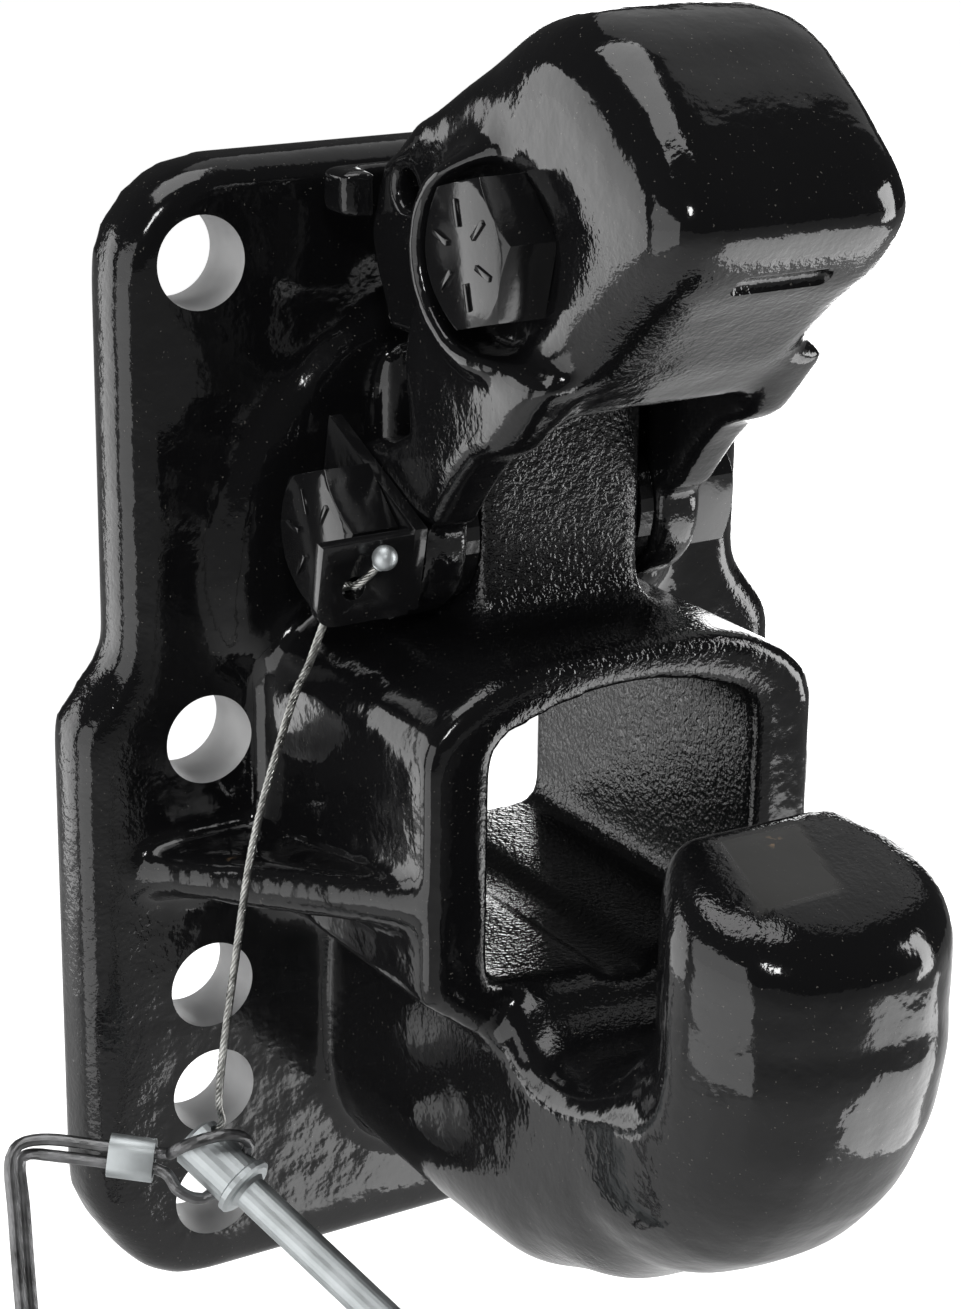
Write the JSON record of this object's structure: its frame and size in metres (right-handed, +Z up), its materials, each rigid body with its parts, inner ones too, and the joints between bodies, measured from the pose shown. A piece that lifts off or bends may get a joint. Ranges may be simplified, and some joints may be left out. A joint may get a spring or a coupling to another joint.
{
  "type": "pintle hook",
  "caption": "Rigid-mount pintle hook: plate with bolt holes, forward horn, hinged latch with sprung lock lever, lanyard and lock pin on a wire bail.",
  "frame": {"origin": "on the mounting plate's back face, midway across, at the middle of the upper four bolt holes", "axes": "+X to the right seen from the front, +Y back into the vehicle, out of the mounting face, +Z up along the plate"},
  "size_m": [0.2235, 0.1785, 0.3278],
  "materials": {
    "hook_body": "gloss black paint on rough casting",
    "thrust_washer_left": "black paint",
    "thrust_washer_right": "black paint",
    "latch_pivot_bolt": "gloss black paint",
    "latch_pivot_nut": "gloss black paint",
    "lanyard_bracket": "gloss black paint",
    "lanyard_ball_stop": "zinc plated",
    "lanyard_cable": "stranded galvanised wire",
    "lanyard_end_stop": "zinc plated",
    "lock_pin": "zinc plated",
    "latch": "gloss black paint on rough casting",
    "lock_bolt": "gloss black paint",
    "lock_bolt_nut": "gloss black paint",
    "lock_lever": "gloss black paint on rough casting",
    "lock_spring": "oiled spring steel",
    "pin_bail": "dull zinc plated wire",
    "bail_ferrule": "zinc plated"
  },
  "bodies": {
    "hook": {"hook_body": "hook_body", "thrust_washer_left": "thrust_washer_left", "thrust_washer_right": "thrust_washer_right", "latch_pivot_bolt": "latch_pivot_bolt", "latch_pivot_nut": "latch_pivot_nut", "lanyard_bracket": "lanyard_bracket", "lanyard_ball_stop": "lanyard_ball_stop", "lanyard_cable": "lanyard_cable", "lanyard_end_stop": "lanyard_end_stop", "lock_pin": "lock_pin"},
    "latch_arm": {"latch": "latch", "lock_bolt": "lock_bolt", "lock_bolt_nut": "lock_bolt_nut"},
    "lever": {"lock_lever": "lock_lever", "lock_spring": "lock_spring"},
    "bail": {"pin_bail": "pin_bail", "bail_ferrule": "bail_ferrule"}
  },
  "joints": [
    {"name": "latch_hinge", "type": "hinge", "parent": "hook", "child": "latch_arm", "pos_m": [0, -0.04445, -0.0016], "axis": [1, 0, 0], "range_deg": [0, 56]},
    {"name": "lock_lever_hinge", "type": "hinge", "parent": "latch_arm", "child": "lever", "pos_m": [0, -0.086, 0.0665], "axis": [1, 0, 0], "range_deg": [0, 20], "stiffness_Nm_per_rad": 0.6, "springref_deg": -45.84},
    {"name": "bail_hinge", "type": "hinge", "parent": "hook", "child": "bail", "pos_m": [-0.0815, -0.06, -0.1376], "axis": [0.6551, -0.1286, 0.7445], "range_deg": [0, 25]}
  ]
}
